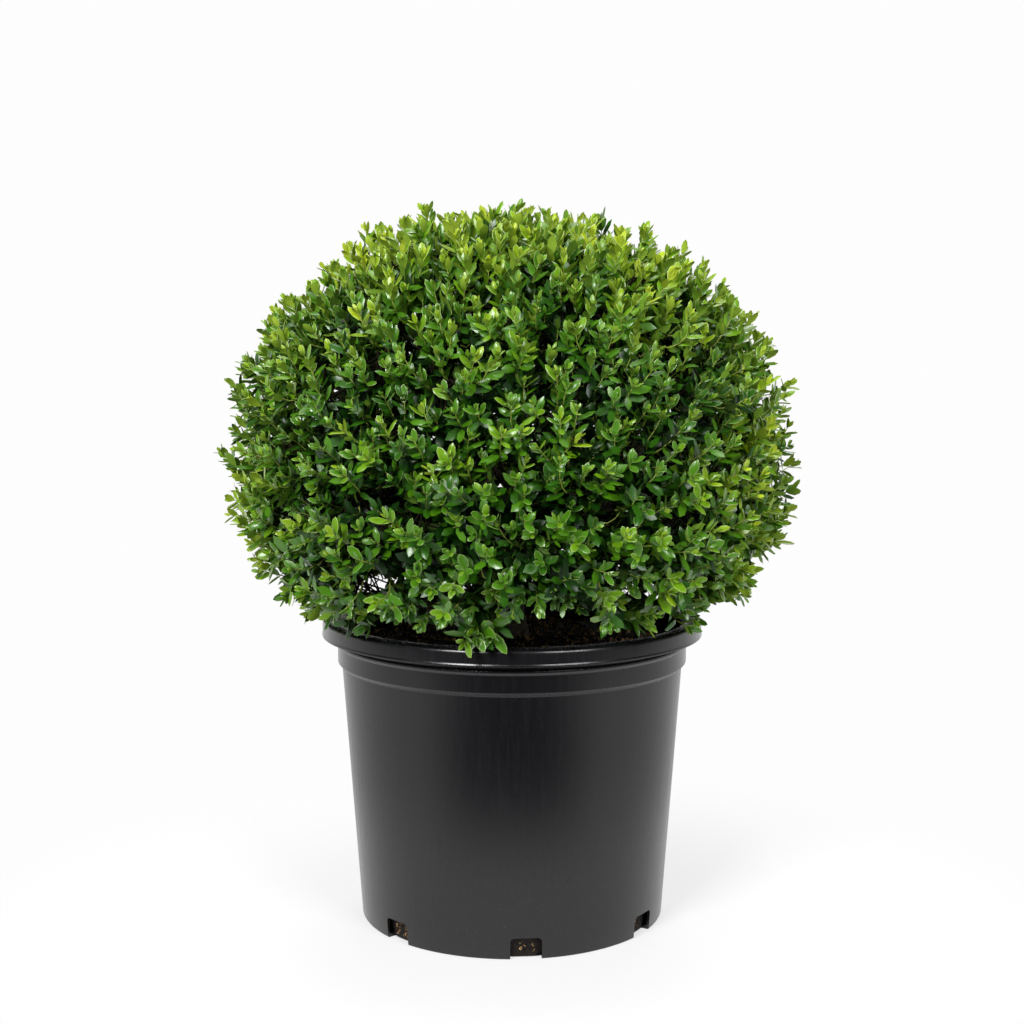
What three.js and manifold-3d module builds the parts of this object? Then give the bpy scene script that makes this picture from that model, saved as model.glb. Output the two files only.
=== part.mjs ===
// A dwarf yaupon holly clipped to a globe, growing in a black nursery pot.
// Lengths are millimetres, +Z is up, and the origin is on the ground under the middle of the pot.

import * as THREE from "three";
import { mergeVertices } from "three/addons/utils/BufferGeometryUtils.js";
import Module from "manifold-3d";

const wasm = await Module();
wasm.setup();

// Clearance between two pieces that touch on the real plant.
const FIT_GAP = 0.3;

// The pot: outside sizes, wall and the rings below its lip.
const RIM_RADIUS = 140;
const POT_HEIGHT = 222;
const FOOT_RADIUS = 112;
const WALL = 2;
const WALL_TOP_RADIUS = 125.2;
const WALL_TOP_Z = 180;
const NECK_RADIUS = 128.6;
const NECK_Z = 187;
const BEAD_Z = 205;
const BEAD_SIZE = 1.3;
const LIP_Z = 208;
const LIP_ROUND = 2.6;
const FLOOR = 2.5;
const POT_STEPS = 40;

// Drainage notches through the foot of the wall.
const NOTCH_COUNT = 7;
const NOTCH_WIDTH = 23;
const NOTCH_HEIGHT = 15;
const NOTCH_DEPTH = 8;
const FIRST_NOTCH_DEG = -85;

// The potting mix, lower at the wall than round the stem, and drawn in behind the notches.
const MIX_EDGE_Z = 200;
const MIX_TOP_Z = 206;
const MIX_FLAT_RADIUS = 24;
const MIX_CORNER = 8;

// The globe of foliage, measured to the leaf tips.
const CROWN_MID_Z = 327;
const CROWN_RADIUS = 212;
const CROWN_RISE = 198;
const CROWN_DROP = 150;
const UPPER_FULLNESS = 2.2;
const LOWER_FULLNESS = 2;

// The lowest leaves clear the pot, and beyond its lip they hang a little lower.
const UNDERSIDE_Z = 226;
const SKIRT_RADIUS = 144;
const SKIRT_DROP = 12;

// The trunk, from the mix to the tip of its leader.
const TRUNK_RADIUS = 8.5;
const TRUNK_TIP_RADIUS = 3;
const FLARE = 6;
const FLARE_REACH = 0.05;
const FLARE_LOBES = 5;
const TRUNK_LEAN = 7;

// Limbs. Shares are of the distance from the crown's middle to the leaf tips.
const BOUGH_RADIUS = 3.6;
const BOUGH_TIP_RADIUS = 2.4;
const BOUGH_END = 0.56;
const STEM_END = 0.8;
const STEM_TIP_RADIUS = 1.5;
const LIMB_STEPS = 5;
const LIMB_SIDES = 6;

// Each ring of masses, with the height on the trunk where its boughs leave, dealt out in turn.
const MASS_RINGS = [
  { ring: "top", count: 1, elevation: 90, turn: 0, forks: [] },
  { ring: "upper", count: 5, elevation: 40, turn: 18, forks: [284, 296] },
  { ring: "side", count: 8, elevation: -6, turn: 10, forks: [232, 254] },
];

// The dense core of a mass, inside its own share of the globe.
const CORE_RADIUS = 180;
const CORE_RISE = 168;
const CORE_DROP = 142;
const CORE_FLOOR_Z = 232;
const CORE_INNER = 0.62;
const CORE_DETAIL = 5;
const CELL_GAP = 2;

// Twigs and leaves. A leaf stands for a spray, so it is larger than a real one.
const SPRAY_COUNT = 126;
const LOWEST_SPRAY_DEG = -35;
const TWIG_RADIUS = 2;
const TWIG_TIP_RADIUS = 1.6;
const LEAF_LENGTH = 28;
const LEAF_WIDTH = 16;
const LEAF_THICKNESS = 2;
const LEAF_BROADEST = 0.52;
const LEAF_SINK = 1.5;
const LEAF_SPACING = 6;
const SIDE_LEAVES = 3;
const SIDE_LEAF_TILT_DEG = 60;
const LEAF_TRIES = 8;
const SEED = 20131;

const GOLDEN_TURN = Math.PI * (3 - Math.sqrt(5));
const UP = new THREE.Vector3(0, 0, 1);

const MATERIALS = {
  pot: new THREE.MeshStandardMaterial({ color: 0x2b2b2d, roughness: 0.5, metalness: 0 }),
  mix: new THREE.MeshStandardMaterial({ color: 0x2a1d14, roughness: 0.95, metalness: 0 }),
  bark: new THREE.MeshStandardMaterial({ color: 0x6b5a49, roughness: 0.85, metalness: 0 }),
  foliage: new THREE.MeshStandardMaterial({ color: 0x3f7d1e, roughness: 0.4, metalness: 0 }),
};

// A repeatable stream of numbers from 0 to 1.
function seededRandom(seed) {
  let state = seed;
  return () => {
    state = (state * 48271) % 2147483647;
    return state / 2147483647;
  };
}

function directionOf(elevationDeg, azimuthDeg) {
  const elevation = THREE.MathUtils.degToRad(elevationDeg);
  const azimuth = THREE.MathUtils.degToRad(azimuthDeg);
  return new THREE.Vector3(
    Math.cos(elevation) * Math.cos(azimuth),
    Math.cos(elevation) * Math.sin(azimuth),
    Math.sin(elevation),
  );
}

// Any unit vector square to this one.
function squareTo(direction) {
  const helper = Math.abs(direction.z) < 0.9 ? UP : new THREE.Vector3(1, 0, 0);
  return helper.clone().cross(direction).normalize();
}

// Distance along a unit direction from the crown's middle to a globe of the given sizes.
function globeReach(direction, radius, rise, drop) {
  const fullness = direction.z > 0 ? UPPER_FULLNESS : LOWER_FULLNESS;
  const across = Math.hypot(direction.x, direction.y) / radius;
  const upright = Math.abs(direction.z) / (direction.z > 0 ? rise : drop);
  return (across ** fullness + upright ** fullness) ** (-1 / fullness);
}

// The same distance to the leaf tips, where the plant is clipped.
function reachAlong(direction) {
  return globeReach(direction, CROWN_RADIUS, CROWN_RISE, CROWN_DROP);
}

// A closed geometry as a solid that can be joined and cut.
function solidOf(geometry) {
  const bare = new THREE.BufferGeometry();
  bare.setAttribute("position", geometry.getAttribute("position"));
  bare.setIndex(geometry.getIndex());
  const merged = mergeVertices(bare, 1e-3);
  return new wasm.Manifold(
    new wasm.Mesh({
      numProp: 3,
      vertProperties: merged.getAttribute("position").array,
      triVerts: new Uint32Array(merged.getIndex().array),
    }),
  );
}

function geometryOf(solid) {
  const { vertProperties, triVerts } = solid.getMesh();
  const geometry = new THREE.BufferGeometry();
  geometry.setAttribute("position", new THREE.BufferAttribute(vertProperties, 3));
  geometry.setIndex(new THREE.BufferAttribute(triVerts, 1));
  geometry.computeVertexNormals();
  return geometry;
}

// The pieces joined into one body. A sealed hollow is filled and a loose scrap dropped.
function fused(solids) {
  const joined = solids.reduce((whole, piece) => whole.add(piece));
  const bodies = joined.decompose().filter((body) => body.volume() > 0);
  return bodies.reduce((largest, body) => (body.volume() > largest.volume() ? body : largest));
}

function meshOf(name, solid, material) {
  const mesh = new THREE.Mesh(geometryOf(solid), material);
  mesh.name = name;
  return mesh;
}

// A profile of [radius, height] points turned about the upright axis.
function turned(profile) {
  const points = profile.map(([radius, height]) => new THREE.Vector2(radius, height));
  return new THREE.LatheGeometry(points, POT_STEPS).rotateX(Math.PI / 2);
}

// The inside of the pot's wall at a height.
function innerRadius(z) {
  const share = z / WALL_TOP_Z;
  return THREE.MathUtils.lerp(FOOT_RADIUS, WALL_TOP_RADIUS, share) - WALL;
}

function potProfile() {
  const lipTop = POT_HEIGHT - LIP_ROUND;
  const outside = [
    [0, 0],
    [FOOT_RADIUS - 0.6, 0],
    [FOOT_RADIUS, 1.2],
    [WALL_TOP_RADIUS, WALL_TOP_Z],
    [NECK_RADIUS, NECK_Z],
    [NECK_RADIUS, BEAD_Z - BEAD_SIZE],
    [NECK_RADIUS + BEAD_SIZE, BEAD_Z],
    [NECK_RADIUS, BEAD_Z + BEAD_SIZE],
    [NECK_RADIUS, LIP_Z],
    [RIM_RADIUS - LIP_ROUND, LIP_Z],
    [RIM_RADIUS, LIP_Z + LIP_ROUND],
    [RIM_RADIUS - 0.6, lipTop],
    [RIM_RADIUS - 0.6 - LIP_ROUND, POT_HEIGHT],
  ];
  const inside = [
    [NECK_RADIUS + LIP_ROUND, POT_HEIGHT],
    [NECK_RADIUS - WALL, lipTop],
    [NECK_RADIUS - WALL, NECK_Z],
    [innerRadius(WALL_TOP_Z), WALL_TOP_Z],
    [innerRadius(FLOOR), FLOOR],
    [0, FLOOR],
  ];
  return [...outside, ...inside];
}

function notchCutter(index) {
  const cutter = new THREE.BoxGeometry(2 * NOTCH_DEPTH, NOTCH_WIDTH, 2 * NOTCH_HEIGHT);
  cutter.translate(FOOT_RADIUS, 0, 0);
  cutter.rotateZ(THREE.MathUtils.degToRad(FIRST_NOTCH_DEG + (360 * index) / NOTCH_COUNT));
  return solidOf(cutter);
}

function pot() {
  let solid = solidOf(turned(potProfile()));
  for (let index = 0; index < NOTCH_COUNT; index++) {
    solid = solid.subtract(notchCutter(index));
  }
  return meshOf("pot", solid, MATERIALS.pot);
}

function pottingMix() {
  const floor = FLOOR + FIT_GAP;
  const cornerTop = NOTCH_HEIGHT + 2 * WALL;
  const profile = [
    [0, floor],
    [innerRadius(floor) - MIX_CORNER, floor],
    [innerRadius(cornerTop) - FIT_GAP, cornerTop],
    [innerRadius(WALL_TOP_Z) - FIT_GAP, WALL_TOP_Z],
    [NECK_RADIUS - WALL - FIT_GAP, NECK_Z],
    [NECK_RADIUS - WALL - FIT_GAP, MIX_EDGE_Z],
    [MIX_FLAT_RADIUS, MIX_TOP_Z],
    [0, MIX_TOP_Z],
  ];
  return meshOf("potting_mix", solidOf(turned(profile)), MATERIALS.mix);
}

// A round limb along a curve. radiusAt takes the share of its length and the angle round it.
function limb(curve, radiusAt, sides, steps) {
  const geometry = new THREE.CylinderGeometry(1, 1, 1, sides, steps);
  const frames = curve.computeFrenetFrames(steps);
  const position = geometry.getAttribute("position");
  for (let index = 0; index < position.count; index++) {
    const share = position.getY(index) + 0.5;
    const step = Math.round(share * steps);
    const x = position.getX(index);
    const z = position.getZ(index);
    const radius = radiusAt(share, Math.atan2(z, x));
    const point = curve.getPointAt(share);
    point.addScaledVector(frames.normals[step], x * radius);
    point.addScaledVector(frames.binormals[step], -z * radius);
    position.setXYZ(index, point.x, point.y, point.z);
  }
  return solidOf(geometry);
}

function tapering(startRadius, endRadius) {
  return (share) => THREE.MathUtils.lerp(startRadius, endRadius, share);
}

// The masses of the crown, each with the direction that it faces from the crown's middle.
const masses = MASS_RINGS.flatMap(({ ring, count, elevation, turn, forks }) =>
  Array.from({ length: count }, (_, index) => ({
    name: count > 1 ? `${ring}_${index + 1}` : ring,
    towards: directionOf(elevation, turn + (360 * index) / count),
    forkZ: forks[index % forks.length],
  })),
);

const crownMiddle = new THREE.Vector3(0, 0, CROWN_MID_Z);

// A point at a share of the way from the crown's middle to the leaf tips of a mass.
function pointInMass(mass, share) {
  return crownMiddle.clone().addScaledVector(mass.towards, share * reachAlong(mass.towards));
}

// The trunk rises straight from the mix, leans a little and straightens to the top mass.
const trunkFoot = new THREE.Vector3(0, 0, MIX_TOP_Z + FIT_GAP);
const trunkTip = pointInMass(masses[0], BOUGH_END);
const trunkLine = new THREE.CubicBezierCurve3(
  trunkFoot,
  new THREE.Vector3(0, 0, THREE.MathUtils.lerp(trunkFoot.z, trunkTip.z, 0.4)),
  new THREE.Vector3(TRUNK_LEAN, -TRUNK_LEAN, THREE.MathUtils.lerp(trunkFoot.z, trunkTip.z, 0.6)),
  trunkTip,
);

function trunkSolid(clearance) {
  const taper = tapering(TRUNK_RADIUS, TRUNK_TIP_RADIUS);
  const radiusAt = (share, angle) => {
    const lobe = 0.75 + 0.25 * Math.cos(FLARE_LOBES * angle);
    return taper(share) + FLARE * lobe * Math.exp(-share / FLARE_REACH) + clearance;
  };
  return limb(trunkLine, radiusAt, 2 * FLARE_LOBES, 2 * LIMB_STEPS);
}

// The point of the trunk's middle line at a height.
function trunkAt(z) {
  let low = 0;
  let high = 1;
  while (high - low > 1e-4) {
    const half = (low + high) / 2;
    if (trunkLine.getPointAt(half).z < z) low = half;
    else high = half;
  }
  return trunkLine.getPointAt(low);
}

// A bough leaves the trunk steeply and turns out towards its mass.
function boughSolid(mass) {
  const start = trunkAt(mass.forkZ);
  const end = pointInMass(mass, BOUGH_END);
  const outward = new THREE.Vector3(mass.towards.x, mass.towards.y, 0).normalize();
  const bend = start.distanceTo(end) / 3;
  const line = new THREE.CubicBezierCurve3(
    start,
    start.clone().addScaledVector(outward, bend).addScaledVector(UP, bend / 2),
    end.clone().addScaledVector(mass.towards, -bend),
    end,
  );
  const whole = limb(line, tapering(BOUGH_RADIUS, BOUGH_TIP_RADIUS), LIMB_SIDES, LIMB_STEPS);
  return whole.subtract(trunkSolid(FIT_GAP));
}

// The flat walls of a mass's share of the globe, as normals that point into it.
function cellWalls(mass) {
  return masses
    .filter((other) => other !== mass)
    .map((other) => mass.towards.clone().sub(other.towards).normalize());
}

function insideCell(point, walls) {
  const fromMiddle = point.clone().sub(crownMiddle);
  return walls.every((wall) => wall.dot(fromMiddle) >= CELL_GAP);
}

// Everything behind a flat wall through a point, as a block to cut away.
function behind(point, normal) {
  const size = 4 * CROWN_RADIUS;
  const block = new THREE.BoxGeometry(size, size, size).translate(0, 0, -size / 2);
  block.applyQuaternion(new THREE.Quaternion().setFromUnitVectors(UP, normal));
  return solidOf(block.translate(point.x, point.y, point.z));
}

// The globe drawn in from the leaf tips to the dense growth.
function denseGlobe() {
  const ball = new THREE.IcosahedronGeometry(1, CORE_DETAIL);
  const position = ball.getAttribute("position");
  for (let index = 0; index < position.count; index++) {
    const ray = new THREE.Vector3().fromBufferAttribute(position, index).normalize();
    const reach = globeReach(ray, CORE_RADIUS, CORE_RISE, CORE_DROP);
    const point = crownMiddle.clone().addScaledVector(ray, reach);
    position.setXYZ(index, point.x, point.y, point.z);
  }
  return solidOf(ball);
}

// The core is the mass's share of the dense globe, cut flat on the inside and below.
function coreSolid(mass, walls) {
  const cuts = walls.map((wall) => behind(crownMiddle.clone().addScaledVector(wall, CELL_GAP), wall));
  cuts.push(behind(pointInMass(mass, CORE_INNER), mass.towards));
  cuts.push(behind(new THREE.Vector3(0, 0, CORE_FLOOR_Z), UP));
  return cuts.reduce((core, cut) => core.subtract(cut), denseGlobe());
}

function stemLine(mass) {
  const start = pointInMass(mass, BOUGH_END).addScaledVector(mass.towards, FIT_GAP);
  return new THREE.LineCurve3(start, pointInMass(mass, STEM_END));
}

// Directions spread evenly over the globe, one for each spray, kept by the mass that they face.
function sprayDirections(mass) {
  const lowest = Math.sin(THREE.MathUtils.degToRad(LOWEST_SPRAY_DEG));
  const found = [];
  for (let index = 0; index < SPRAY_COUNT; index++) {
    const height = THREE.MathUtils.lerp(1, lowest, (index + 0.5) / SPRAY_COUNT);
    const across = Math.sqrt(1 - height * height);
    const turn = index * GOLDEN_TURN;
    const direction = new THREE.Vector3(across * Math.cos(turn), across * Math.sin(turn), height);
    const nearest = masses.reduce((best, other) =>
      other.towards.dot(direction) > best.towards.dot(direction) ? other : best,
    );
    if (nearest === mass) found.push(direction);
  }
  return found;
}

// A leaf of six faces from its root along a direction, flat above and keeled below.
function leafGeometry(root, along, across) {
  const geometry = new THREE.SphereGeometry(1, 3, 2);
  const position = geometry.getAttribute("position");
  const face = along.clone().cross(across).normalize();
  for (let index = 0; index < position.count; index++) {
    const [x, y, z] = new THREE.Vector3().fromBufferAttribute(position, index).toArray();
    const share = Math.abs(y) > 0.5 ? (y + 1) / 2 : LEAF_BROADEST;
    const point = root.clone();
    point.addScaledVector(along, share * LEAF_LENGTH);
    point.addScaledVector(across, (z * LEAF_WIDTH) / Math.sqrt(3));
    point.addScaledVector(face, (x * LEAF_THICKNESS) / 1.5);
    position.setXYZ(index, point.x, point.y, point.z);
  }
  return geometry;
}

// The lowest level that leaves reach at a distance from the upright axis.
function lowestAt(radius) {
  return UNDERSIDE_Z - THREE.MathUtils.clamp(radius - SKIRT_RADIUS, 0, SKIRT_DROP);
}

function leafFits(geometry, walls) {
  const position = geometry.getAttribute("position");
  const point = new THREE.Vector3();
  for (let index = 0; index < position.count; index++) {
    point.fromBufferAttribute(position, index);
    const fromMiddle = point.clone().sub(crownMiddle);
    const reach = reachAlong(fromMiddle.clone().normalize());
    const outside = fromMiddle.length() > reach + FIT_GAP;
    const tooLow = point.z < lowestAt(Math.hypot(point.x, point.y));
    if (outside || tooLow || !insideCell(point, walls)) return false;
  }
  return true;
}

// The first turn of a leaf round its twig at which it keeps to its space, or nothing.
function fittingLeaf(root, axis, tilt, firstTurn, walls) {
  for (let attempt = 0; attempt < LEAF_TRIES; attempt++) {
    const turn = firstTurn + (2 * Math.PI * attempt) / LEAF_TRIES;
    const side = squareTo(axis).applyAxisAngle(axis, turn);
    const along = axis.clone().applyAxisAngle(side, tilt);
    const leaf = leafGeometry(root.clone().addScaledVector(along, -LEAF_SINK), along, side);
    if (leafFits(leaf, walls)) return leaf;
  }
  return null;
}

// A twig from the stem to one spray, with a leaf at its tip and a whorl of leaves below it.
function spraySolids(mass, direction, random, walls) {
  const stem = stemLine(mass);
  const tip = crownMiddle.clone();
  tip.addScaledVector(direction, reachAlong(direction) - LEAF_LENGTH + LEAF_SINK);
  const start = stem.getPointAt(THREE.MathUtils.lerp(0.5, 0.9, random()));
  const line = new THREE.LineCurve3(start, tip);
  const solids = [limb(line, tapering(TWIG_RADIUS, TWIG_TIP_RADIUS), 3, 1)];
  const axis = tip.clone().sub(start).normalize().add(direction).normalize();
  const firstTurn = random() * 2 * Math.PI;
  const tilt = THREE.MathUtils.degToRad(SIDE_LEAF_TILT_DEG);
  const leaves = [fittingLeaf(tip, axis, 0, firstTurn, walls)];
  for (let index = 0; index < SIDE_LEAVES; index++) {
    const turn = firstTurn + (2 * Math.PI * (index + 0.5)) / SIDE_LEAVES;
    const root = line.getPointAt(1 - (LEAF_SPACING * (index + 1)) / line.getLength());
    leaves.push(fittingLeaf(root, axis, tilt, turn, walls));
  }
  return [...solids, ...leaves.filter(Boolean).map(solidOf)];
}

function massSolid(mass, index) {
  const random = seededRandom(SEED + index);
  const walls = cellWalls(mass);
  const stem = limb(stemLine(mass), tapering(BOUGH_TIP_RADIUS, STEM_TIP_RADIUS), LIMB_SIDES, 1);
  const sprays = sprayDirections(mass).flatMap((direction) =>
    spraySolids(mass, direction, random, walls),
  );
  return fused([coreSolid(mass, walls), stem, ...sprays]);
}

const plant = new THREE.Group();
plant.add(pot(), pottingMix(), meshOf("trunk", trunkSolid(0), MATERIALS.bark));
masses.forEach((mass, index) => {
  if (mass.forkZ) plant.add(meshOf(`bough_${mass.name}`, boughSolid(mass), MATERIALS.bark));
  plant.add(meshOf(`foliage_${mass.name}`, massSolid(mass, index), MATERIALS.foliage));
});

export default plant;
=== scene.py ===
"""A dwarf yaupon holly clipped to a globe, growing in a black nursery pot."""

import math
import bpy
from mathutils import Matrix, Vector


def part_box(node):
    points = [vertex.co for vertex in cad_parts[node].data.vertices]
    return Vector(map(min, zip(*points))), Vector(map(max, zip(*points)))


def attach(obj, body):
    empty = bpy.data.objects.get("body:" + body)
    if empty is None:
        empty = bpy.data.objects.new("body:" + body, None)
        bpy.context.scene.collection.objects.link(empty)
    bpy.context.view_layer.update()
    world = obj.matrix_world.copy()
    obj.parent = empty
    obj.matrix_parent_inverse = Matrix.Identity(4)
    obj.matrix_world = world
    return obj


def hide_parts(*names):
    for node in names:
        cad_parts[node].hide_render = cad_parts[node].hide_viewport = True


bl_info = {
    "name": "Potted Dwarf Holly",
    "version": (1, 0, 0),
    "blender": (4, 5, 0),
    "location": "3D View > Sidebar > Holly",
    "description": "Builds a clipped dwarf holly with its leaves, twigs, pot and stage",
    "category": "Object",
}

import bmesh
import bpy
import numpy as np
from bpy.props import FloatProperty, FloatVectorProperty, IntProperty, PointerProperty

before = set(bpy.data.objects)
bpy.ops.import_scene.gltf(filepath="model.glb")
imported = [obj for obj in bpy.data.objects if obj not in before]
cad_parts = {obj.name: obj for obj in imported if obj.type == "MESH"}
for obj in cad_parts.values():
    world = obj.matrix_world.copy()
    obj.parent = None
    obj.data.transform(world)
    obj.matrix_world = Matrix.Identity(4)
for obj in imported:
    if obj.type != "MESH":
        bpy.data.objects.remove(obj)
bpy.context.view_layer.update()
POT_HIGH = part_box("pot")[1]
FOLIAGE_NODES = [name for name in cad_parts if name.startswith("foliage_")]
BOUGH_NODES = [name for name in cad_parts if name.startswith("bough_")]

MM = 0.001
FULL_TURN = 2 * math.pi
GOLDEN_TURN = math.pi * (3 - math.sqrt(5))
UP = np.array([0.0, 0.0, 1.0])
ASIDE = np.array([1.0, 0.0, 0.0])
# How finely round shapes are drawn.
ARC_POINTS = 5
POT_SEGMENTS = 192
MIX_SEGMENTS = 128
FLOOR_SEGMENTS = 64
# Turns sharper than this are crisp edges on the pot.
CREASE = math.radians(32)


def linear(hex_colour):
    """A colour written as sRGB hex, as linear red, green and blue."""
    parts = [int(hex_colour[index : index + 2], 16) / 255 for index in (1, 3, 5)]
    return tuple(part / 12.92 if part <= 0.04045 else ((part + 0.055) / 1.055) ** 2.4 for part in parts)


def length(name, description, default):
    """A size in metres that a user can change."""
    kind = {"min": 0.0, "precision": 4, "subtype": "DISTANCE", "unit": "LENGTH"}
    return FloatProperty(name=name, description=description, default=default, **kind)


def angle(name, description, degrees):
    """An angle that a user can change."""
    kind = {"subtype": "ANGLE", "unit": "ROTATION"}
    return FloatProperty(name=name, description=description, default=math.radians(degrees), **kind)


def amount(name, description, default, most):
    """A share or another plain number that a user can change."""
    return FloatProperty(name=name, description=description, default=default, min=0.0, max=most)


def number(name, description, default, least):
    """A count that a user can change."""
    return IntProperty(name=name, description=description, default=default, min=least)


def colour(name, description, hex_colour):
    """A colour that a user can change."""
    kind = {"size": 3, "min": 0.0, "max": 1.0, "subtype": "COLOR"}
    return FloatVectorProperty(name=name, description=description, default=linear(hex_colour), **kind)


# Sizes and colours


class PotSettings(bpy.types.PropertyGroup):
    """The nursery pot."""

    rim_radius: length("Rim Radius", "Outside of the lip", POT_HIGH[0])
    height: length("Height", "From the ground to the top of the lip", POT_HIGH[2])
    foot_radius: length("Foot Radius", "Outside of the foot", 112 * MM)
    wall: length("Wall", "Thickness of the moulded wall", 2 * MM)
    notch_width: length("Notch Width", "Width of a drainage notch", 22 * MM)
    notch_height: length("Notch Height", "Height of a drainage notch", 15.5 * MM)
    notch_depth: length("Notch Depth", "How far a notch cuts into the floor", 16 * MM)
    notches: number("Notches", "Drainage notches round the foot", 7, 3)
    first_notch: angle("First Notch", "Direction of the first notch", -85)
    plastic: colour("Plastic", "Black of the moulded plastic", "#0C0C0F")
    scuff: colour("Scuffs", "Grey of rubbed places and dust", "#6E6D69")


class MixSettings(bpy.types.PropertyGroup):
    """The potting mix."""

    edge_height: length("Edge Height", "Level of the mix at the wall", 201 * MM)
    top_height: length("Top Height", "Level of the mix round the trunk", 206 * MM)
    chip_size: length("Chip Size", "Length of a piece of bark", 7 * MM)
    chip_density: amount("Chip Density", "Pieces of bark on each square metre", 26000, 100000)
    # Peat and bark are darkened beyond their own dark brown, as painted shade in the pot and the notches.
    peat: colour("Peat", "Fine dark part of the mix", "#120C09")
    bark: colour("Bark", "Composted bark in the mix", "#20160F")
    dry_bark: colour("Dry Bark", "Pieces of bark that have dried", "#C6A06C")


class CrownSettings(bpy.types.PropertyGroup):
    """The clipped globe, measured to the leaf tips, and the limbs in it."""

    middle: length("Middle", "Level where the globe is widest", 327 * MM)
    radius: length("Radius", "Widest radius", 212 * MM)
    rise: length("Rise", "From the widest level to the top", 198 * MM)
    drop: length("Drop", "Depth of the lower half before it is cut off", 160 * MM)
    underside: length("Underside", "Lowest leaves over the pot", 226 * MM)
    skirt_radius: length("Skirt Radius", "Where leaves begin to hang lower", 144 * MM)
    skirt_drop: length("Skirt Drop", "How much lower they hang there", 6 * MM)
    trunk_radius: length("Trunk Radius", "Above the root flare", 8.5 * MM)
    bough_radius: length("Bough Radius", "Where a bough leaves the trunk", 3.6 * MM)
    bark: colour("Bark", "Grey-brown of old bark", "#4F443A")
    bark_pale: colour("Pale Bark", "Lichen grey of raised bark", "#9A8F7F")
    seed: number("Seed", "Start of the stream that places the first twigs", 20131, 1)


class ShootSettings(bpy.types.PropertyGroup):
    """The fine twigs and leafy shoots."""

    outer: number("Outer Shoots", "Leafy shoots that end at the clipped surface", 1750, 10)
    hollows: number("Hollows", "Dark places between the outer shoots", 110, 0)
    inner: number("Inner Shoots", "Leafy shoots that end below the clipped surface", 1300, 10)
    core: number("Core Shoots", "Leafy shoots deep in the crown", 1100, 10)
    leafy_length: length("Leafy Length", "Length of a shoot that has leaves", 32 * MM)
    radius: length("Shoot Radius", "At the base of a shoot", 0.75 * MM)
    lift: amount("Lift", "How much the shoots turn up to the light", 0.9, 2.0)
    # Old wood is darkened well below its own brown, as painted shade inside the crown.
    old_wood: colour("Old Wood", "Brown of last year's twigs", "#1D1810")
    new_wood: colour("New Wood", "Yellow-green of this year's shoots", "#8F9C42")


class LeafSettings(bpy.types.PropertyGroup):
    """The leaves and their tints, from the newest growth to the darkest tint, which paints the shade
    inside the crown.
    """

    size: length("Length", "Usual length of a leaf", 12.2 * MM)
    thickness: length("Thickness", "Of the leaf along its midrib", 0.35 * MM)
    slimness: amount("Width Share", "Width of a leaf as a share of its length", 0.46, 1.0)
    fold: amount("Fold", "Most that the midrib lies over or under the edges, by the width", 0.26, 0.5)
    lime: colour("Lime", "Newest leaves at the top", "#AAC01B")
    spring: colour("Spring", "New leaves", "#87A913")
    fresh: colour("Fresh", "Young leaves", "#68950F")
    leaf: colour("Leaf", "Grown leaves", "#477B0D")
    deep: colour("Deep", "Older leaves", "#2A5A09")
    # Shade is painted shade: the tint of the leaves deep inside the crown.
    shade: colour("Shade", "Leaves inside the crown", "#0F3105")
    # Undersides fade towards this paler colour, lightened further as painted light shining through the
    # leaf.
    underside: colour("Underside", "What the lower faces fade towards", "#B4C25A")
    # Margins fade towards this colour as a painted highlight along the leaf edges.
    margin: colour("Margin", "What the thin edges fade towards", "#D8E29A")


class StageSettings(bpy.types.PropertyGroup):
    """The floor, the lights and the camera."""

    camera_distance: length("Camera Distance", "Level distance to the pot", 1.235)
    camera_height: length("Camera Height", "Above the floor", 0.432)
    camera_tilt: angle("Camera Tilt", "How far the camera looks down", 6.17)
    lens: FloatProperty(
        name="Lens",
        description="Focal length on a 36 mm sensor",
        default=59.3,
        subtype="DISTANCE_CAMERA",
        unit="CAMERA",
    )
    floor_radius: length("Floor Radius", "How far the pale paper reaches", 0.43)
    floor: colour("Floor", "Pale paper sweep", "#FFFFFF")
    glow: amount("Glow", "Share of the paper's brightness that comes through from below", 0.66, 1.0)


class HollySettings(bpy.types.PropertyGroup):
    """All the settings of the potted holly."""

    pot: PointerProperty(type=PotSettings)
    mix: PointerProperty(type=MixSettings)
    crown: PointerProperty(type=CrownSettings)
    shoots: PointerProperty(type=ShootSettings)
    leaves: PointerProperty(type=LeafSettings)
    stage: PointerProperty(type=StageSettings)


# Vectors, curves and meshes


def unit(vectors):
    """Vectors scaled to a length of one."""
    return vectors / np.linalg.norm(vectors, axis=-1, keepdims=True)


def helper_for(along):
    """A direction that is well apart from each given one."""
    return np.where(np.abs(along[..., 2:]) < 0.9, UP, ASIDE)


def bezier(controls, share):
    """Points on curves: controls end in (points, axes), and share fits what is before that."""
    s = np.asarray(share, dtype=float)[..., None]
    last = controls.shape[-2] - 1
    weights = (math.comb(last, k) * s**k * (1 - s) ** (last - k) for k in range(last + 1))
    return sum(weight * controls[..., k, :] for k, weight in enumerate(weights))


def seeded_random(seed):
    """The repeatable stream of numbers from 0 to 1 that the first twigs are placed by."""
    factor, modulus = 48271, 2147483647
    state = seed
    while True:
        state = state * factor % modulus
        yield state / modulus


def link_object(name, data):
    """A new object in the scene that shows the data."""
    item = bpy.data.objects.new(name, data)
    bpy.context.scene.collection.objects.link(item)
    return item


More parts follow.
